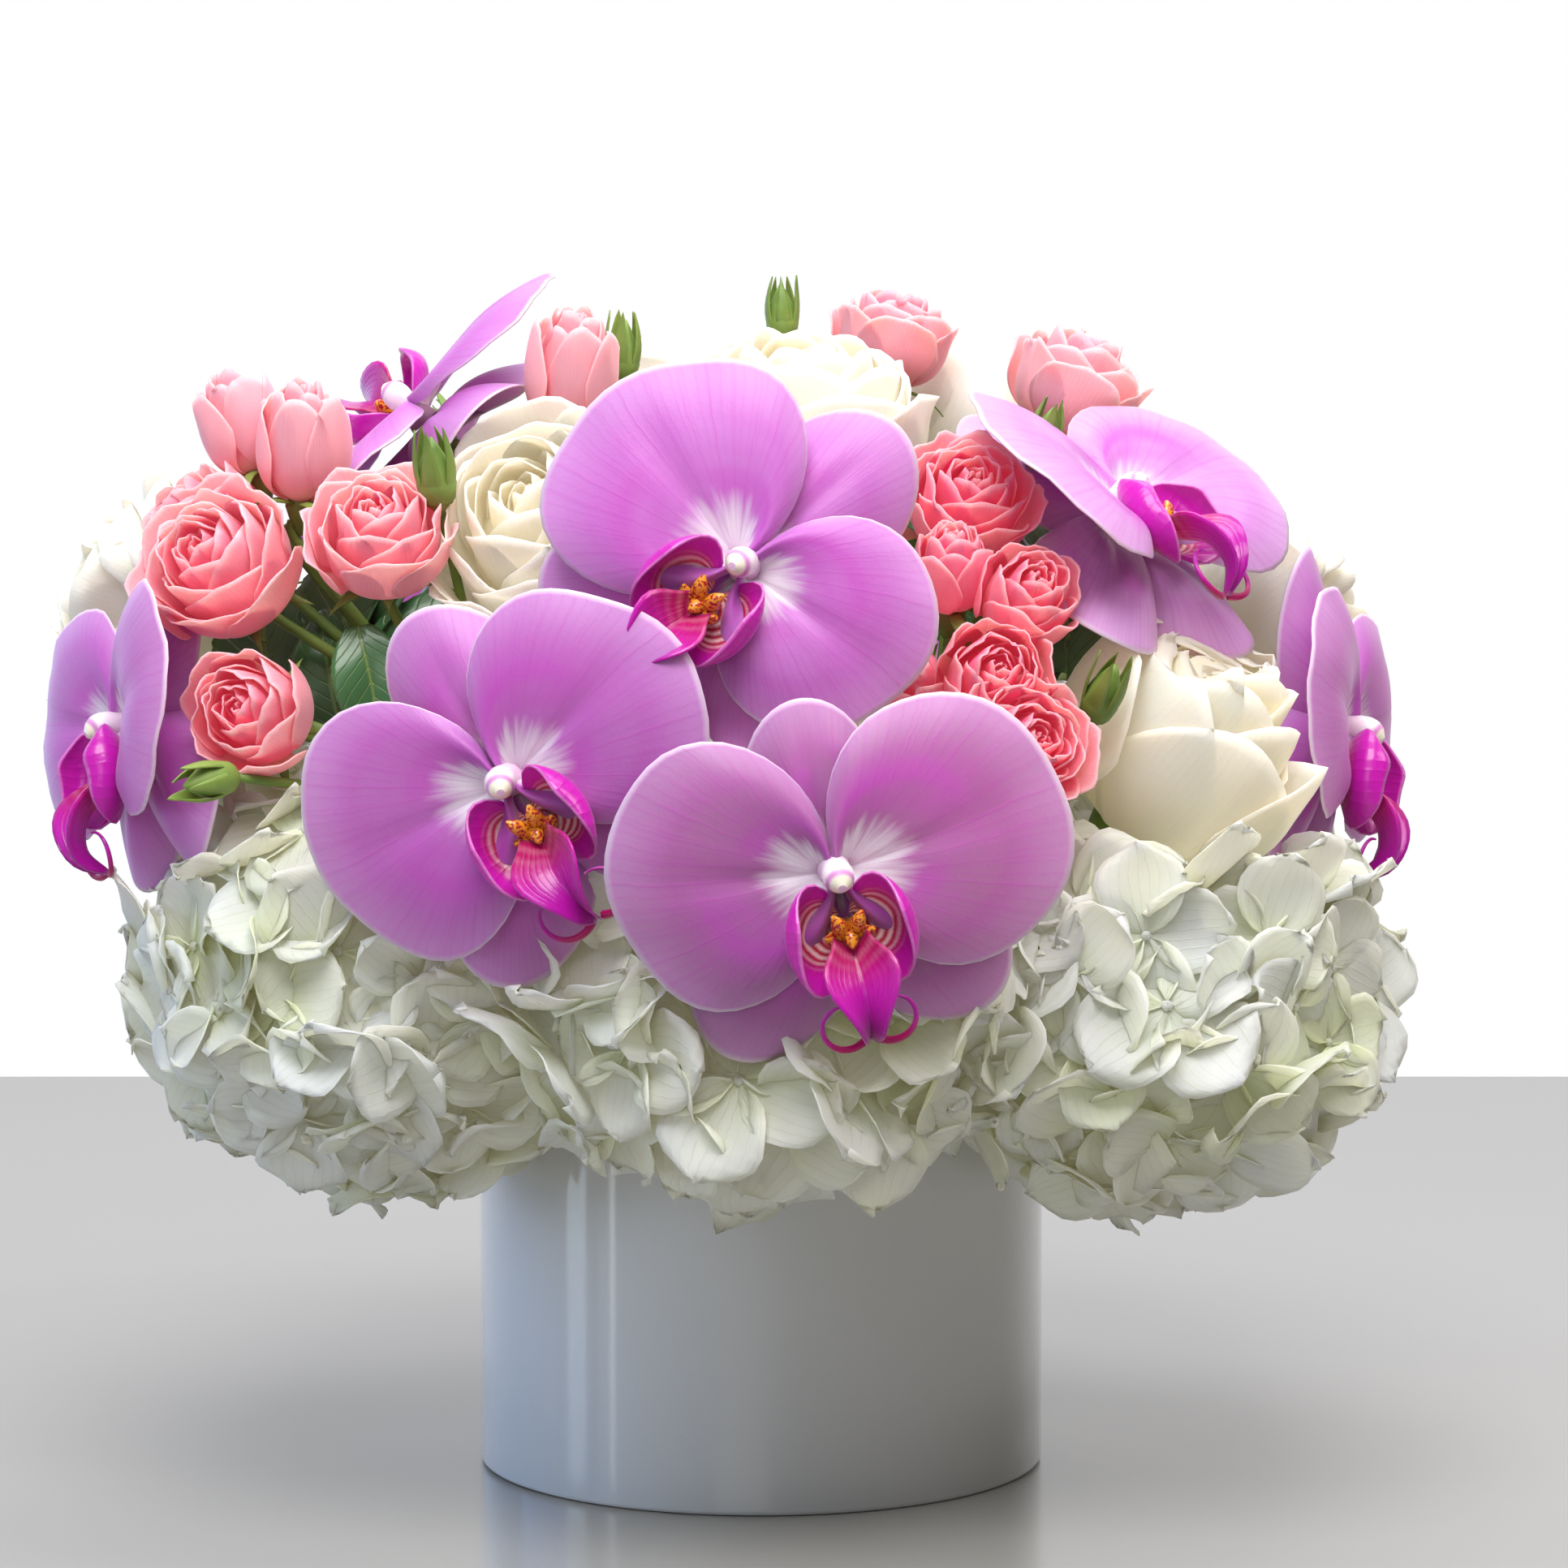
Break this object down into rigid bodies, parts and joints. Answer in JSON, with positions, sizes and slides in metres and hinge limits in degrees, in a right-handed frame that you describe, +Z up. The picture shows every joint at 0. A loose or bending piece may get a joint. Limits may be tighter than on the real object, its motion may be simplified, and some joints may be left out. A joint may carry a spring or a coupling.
{
  "type": "floral table centerpiece",
  "caption": "Round table centrepiece of orchids, roses and hydrangeas in floral foam, standing in a plain white cylinder vase.",
  "frame": {"origin": "middle of the vase's flat foot, on the table", "axes": "+Z up along the vase's axis, -Y towards the front that the picture shows, +X to the right of that front"},
  "size_m": [0.3618, 0.363, 0.317],
  "materials": {
    "vase_glaze": "glossy white glaze, smooth and plain",
    "floral_foam": "dark green soaked foam, fine and crumbly",
    "hydrangea_sepal": "creamy white sepals with a pale green tint, soft and matt",
    "orchid_tepal": "lilac to mauve, finely veined, with a silky sheen",
    "orchid_lip": "deep magenta, waxy, with an orange callus",
    "orchid_spike": "smooth grey-green stem",
    "white_rose_petal": "creamy white petals, velvety, yellow-green at the heart",
    "pink_rose_petal": "salmon pink petals, deeper inside, velvety",
    "rose_green": "fresh green stems, sepals, buds and leaves"
  },
  "bodies": {
    "root": {"floral_foam": "floral_foam", "hydrangea_head_1": "hydrangea_sepal", "hydrangea_head_2": "hydrangea_sepal", "hydrangea_head_3": "hydrangea_sepal", "hydrangea_head_4": "hydrangea_sepal", "hydrangea_head_5": "hydrangea_sepal", "hydrangea_head_6": "hydrangea_sepal", "orchid_lip_back_1": "orchid_lip", "orchid_lip_back_2": "orchid_lip", "orchid_lip_front_1": "orchid_lip", "orchid_lip_front_2": "orchid_lip", "orchid_lip_front_3": "orchid_lip", "orchid_lip_left_1": "orchid_lip", "orchid_lip_left_2": "orchid_lip", "orchid_lip_right_1": "orchid_lip", "orchid_lip_right_2": "orchid_lip", "orchid_spike_back": "orchid_spike", "orchid_spike_front": "orchid_spike", "orchid_spike_left": "orchid_spike", "orchid_spike_right": "orchid_spike", "orchid_tepals_back_1": "orchid_tepal", "orchid_tepals_back_2": "orchid_tepal", "orchid_tepals_front_1": "orchid_tepal", "orchid_tepals_front_2": "orchid_tepal", "orchid_tepals_front_3": "orchid_tepal", "orchid_tepals_left_1": "orchid_tepal", "orchid_tepals_left_2": "orchid_tepal", "orchid_tepals_right_1": "orchid_tepal", "orchid_tepals_right_2": "orchid_tepal", "pink_roses_back_1": "pink_rose_petal", "pink_roses_left_1": "pink_rose_petal", "pink_roses_left_2": "pink_rose_petal", "pink_roses_left_3": "pink_rose_petal", "pink_roses_left_4": "pink_rose_petal", "pink_roses_right_1": "pink_rose_petal", "pink_roses_right_2": "pink_rose_petal", "pink_roses_top_1": "pink_rose_petal", "pink_roses_top_2": "pink_rose_petal", "pink_roses_top_3": "pink_rose_petal", "pink_spray_stems_back": "rose_green", "pink_spray_stems_left": "rose_green", "pink_spray_stems_right": "rose_green", "pink_spray_stems_top": "rose_green", "vase": "vase_glaze", "white_rose_1": "white_rose_petal", "white_rose_2": "white_rose_petal", "white_rose_3": "white_rose_petal", "white_rose_4": "white_rose_petal", "white_rose_5": "white_rose_petal", "white_rose_6": "white_rose_petal", "white_rose_7": "white_rose_petal", "white_rose_8": "white_rose_petal", "white_rose_stem_1": "rose_green", "white_rose_stem_2": "rose_green", "white_rose_stem_3": "rose_green", "white_rose_stem_4": "rose_green", "white_rose_stem_5": "rose_green", "white_rose_stem_6": "rose_green", "white_rose_stem_7": "rose_green", "white_rose_stem_8": "rose_green"}
  },
  "joints": []
}
